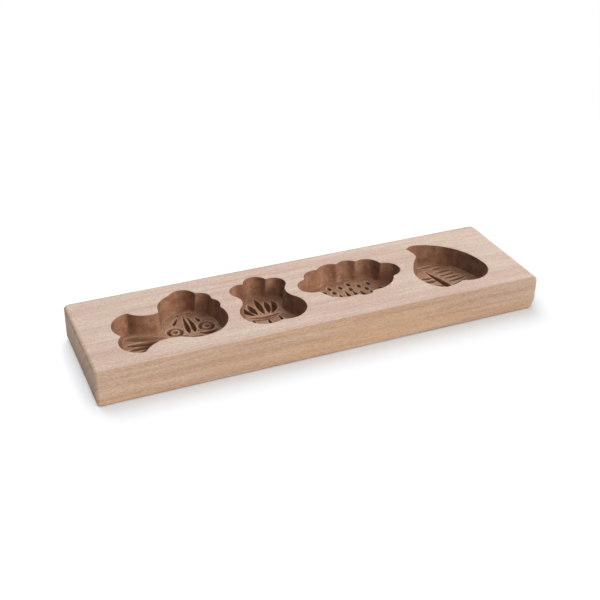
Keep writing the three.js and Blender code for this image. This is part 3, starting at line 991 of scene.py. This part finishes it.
def inside_wood(nodes, place, groove):
    """Browner and blotchy where carved, with painted shade in the cuts and painted highlights beside them.
    """
    around = nodes.vector("MULTIPLY", nodes.value("round", "Vector"), BLOTCHES_PER_MM)
    blotch = nodes.coming_in(nodes.noise(around, BLOTCH), BLOTCH)
    patch = nodes.coming_in(nodes.marks(place, PATCH), PATCH)
    normal = nodes.add("ShaderNodeTexCoord").outputs["Normal"]
    normal = nodes.add("ShaderNodeSeparateXYZ", {0: normal}).outputs
    brown = nodes.mix(blotch, CARVED_WOOD, CARVED_RED)
    brown = nodes.mix_share(CARVED_DARK_SHARE, patch, brown, CARVED_DARK)
    # painted highlight on surfaces that face up
    brown = nodes.mix_share(UP_FACING_HIGHLIGHT_SHARE, nodes.spread(normal["Z"], *UP_FACING_HIGHLIGHT), brown, HIGHLIGHT_WOOD)
    # painted highlight on the ridges beside the cuts
    brown = nodes.mix_share(RIDGE_HIGHLIGHT_SHARE, nodes.value("ridge"), brown, HIGHLIGHT_WOOD)
    # painted shade in the cuts, the darker the deeper
    brown = nodes.mix_share(GROOVE_SHADE_SHARE, groove, brown, GROOVE_SHADE)
    # walls that face along the board: end grain darker, with painted shade
    across = nodes.spread(nodes.math("ABSOLUTE", normal["X"]), *ACROSS)
    return nodes.mix(across, brown, END_GRAIN_AND_SHADE, "MULTIPLY")


def wood_material():
    """Planed, unvarnished wood, whose marks show as streaks along the board and as dots on its ends."""
    material = bpy.data.materials.new("carved_wood")
    material.use_nodes = True
    nodes = Nodes(material.node_tree)
    place = nodes.add("ShaderNodeTexCoord").outputs["Object"]
    place = nodes.vector("MULTIPLY", place, (1 / MM, 1 / MM, 1 / MM))
    apart = nodes.add("ShaderNodeSeparateXYZ", {0: place}).outputs
    groove = nodes.value("groove")
    streak, fibre, fuzz = (nodes.marks(place, kind) for kind in (STREAK, FIBRE, FUZZ))
    pore = nodes.coming_in(nodes.marks(place, PORE), PORE)

    outside = outside_wood(nodes, place, apart)
    colour = nodes.mix(nodes.value("carved"), outside, inside_wood(nodes, place, groove))
    shade = nodes.math("MULTIPLY", nodes.darkening(streak, STREAK), nodes.darkening(fibre, FIBRE))
    shade = nodes.math("MULTIPLY", shade, nodes.darkening(fuzz, FUZZ))
    colour = nodes.times(colour, shade)
    colour = nodes.mix_share(PORE_SHARE, pore, colour, PORE_WOOD)
    colour = nodes.mix_share(RIM_WEAR_SHARE, nodes.value("rim"), colour, TOP_LATE)

    rough = nodes.spread(fibre, *ROUGHNESS_FIBRES, *ROUGHNESS, False)
    height = nodes.math(
        "ADD",
        nodes.math("MULTIPLY", fibre, FIBRE_HEIGHT_SHARE),
        nodes.math("MULTIPLY", fuzz, FUZZ_HEIGHT_SHARE),
    )
    height = nodes.math("SUBTRACT", height, nodes.math("MULTIPLY", pore, PORE_DEPTH_SHARE))
    bump = nodes.add("ShaderNodeBump", {
        "Strength": BUMP_STRENGTH, "Distance": BUMP_HEIGHT_M, "Height": height,
    })
    sheen = nodes.math("MULTIPLY", nodes.math("SUBTRACT", 1, groove), SHEEN)
    shader = nodes.add("ShaderNodeBsdfPrincipled", {
        "Base Color": colour, "Roughness": rough, "Normal": bump.outputs[0], "Specular IOR Level": sheen,
    })
    nodes.add("ShaderNodeOutputMaterial", {"Surface": shader.outputs[0]})
    return material


def seen_directly(nodes):
    """One for rays that show the background itself: camera, glossy and transmission rays."""
    path = nodes.add("ShaderNodeLightPath").outputs
    seen = nodes.math("ADD", path["Is Camera Ray"], path["Is Glossy Ray"], clamp=True)
    return nodes.math("ADD", seen, path["Is Transmission Ray"], clamp=True)


def studio_floor():
    """A white floor that keeps the block's soft shadow and is seen as plain white far from it."""
    material = bpy.data.materials.new("studio_floor")
    material.use_nodes = True
    nodes = Nodes(material.node_tree)
    seen = seen_directly(nodes)
    paint = nodes.add("ShaderNodeBsdfDiffuse", {"Color": nodes.mix(seen, FLOOR_GREY, FLOOR_SEEN)})
    away = nodes.length(nodes.add("ShaderNodeTexCoord").outputs["Object"])
    far = nodes.math("MULTIPLY", nodes.spread(away, FLOOR_NEAR_M, FLOOR_FAR_M), seen)
    white = nodes.add("ShaderNodeEmission", {"Color": WHITE, "Strength": 1})
    surface = nodes.add("ShaderNodeMixShader", {0: far, 1: paint.outputs[0], 2: white.outputs[0]})
    nodes.add("ShaderNodeOutputMaterial", {"Surface": surface.outputs[0]})
    half = FLOOR_SIZE_M / 2
    data = bpy.data.meshes.new("floor")
    corners = [(-half, -half, 0), (half, -half, 0), (half, half, 0), (-half, half, 0)]
    data.from_pydata(corners, [], [(0, 1, 2, 3)])
    data.materials.append(material)
    floor = bpy.data.objects.new("floor", data)
    bpy.context.scene.collection.objects.link(floor)
    return floor


def studio_room():
    """A dim white room for the light, and plain white where the camera looks past the floor."""
    world = bpy.data.worlds.new("studio")
    bpy.context.scene.world = world
    world.use_nodes = True
    nodes = Nodes(world.node_tree)
    seen = seen_directly(nodes)
    light = nodes.add("ShaderNodeBackground", {
        "Color": nodes.mix(seen, ROOM_TINT, WHITE),
        "Strength": nodes.spread(seen, 0, 1, ROOM_LIGHT, 1, False),
    })
    nodes.add("ShaderNodeOutputWorld", {"Surface": light.outputs[0]})


def softbox(plan, pieces):
    """A flat lamp aimed at the middle of the block's underside."""
    place = Vector(plan["place_m"])
    lamp = bpy.data.lights.new(plan["name"], "AREA")
    lamp.shape = "RECTANGLE"
    lamp.size, lamp.size_y = plan["size_m"]
    lamp.energy = plan["level"] * math.pi * math.pi * place.length ** 2
    box = bpy.data.objects.new(plan["name"], lamp)
    box.location = place
    box.rotation_euler = (-place).to_track_quat("-Z", "Y").to_euler()
    bpy.context.scene.collection.objects.link(box)
    if "only" in plan:
        group = bpy.data.collections.new(plan["name"])
        group.objects.link(pieces[plan["only"]])
        box.light_linking.receiver_collection = group


def studio_camera():
    """The photograph's view."""
    data = bpy.data.cameras.new("camera")
    data.lens = CAMERA_LENS
    data.sensor_width = CAMERA_SENSOR
    data.clip_start = CAMERA_NEAR_M
    camera = bpy.data.objects.new("camera", data)
    camera.location = CAMERA_PLACE_M
    level = (CAMERA_AIM_M - CAMERA_PLACE_M).to_track_quat("-Z", "Y")
    camera.rotation_euler = (level @ Quaternion((0, 0, 1), CAMERA_ROLL)).to_euler()
    bpy.context.scene.collection.objects.link(camera)
    bpy.context.scene.camera = camera


studio_camera()
block = carved_block(wood_material())
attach(block, "root")
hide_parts("mold_block")
pieces = {"block": block, "floor": studio_floor()}
for plan in LAMPS:
    softbox(plan, pieces)
studio_room()
bpy.context.scene.view_settings.view_transform = "Standard"
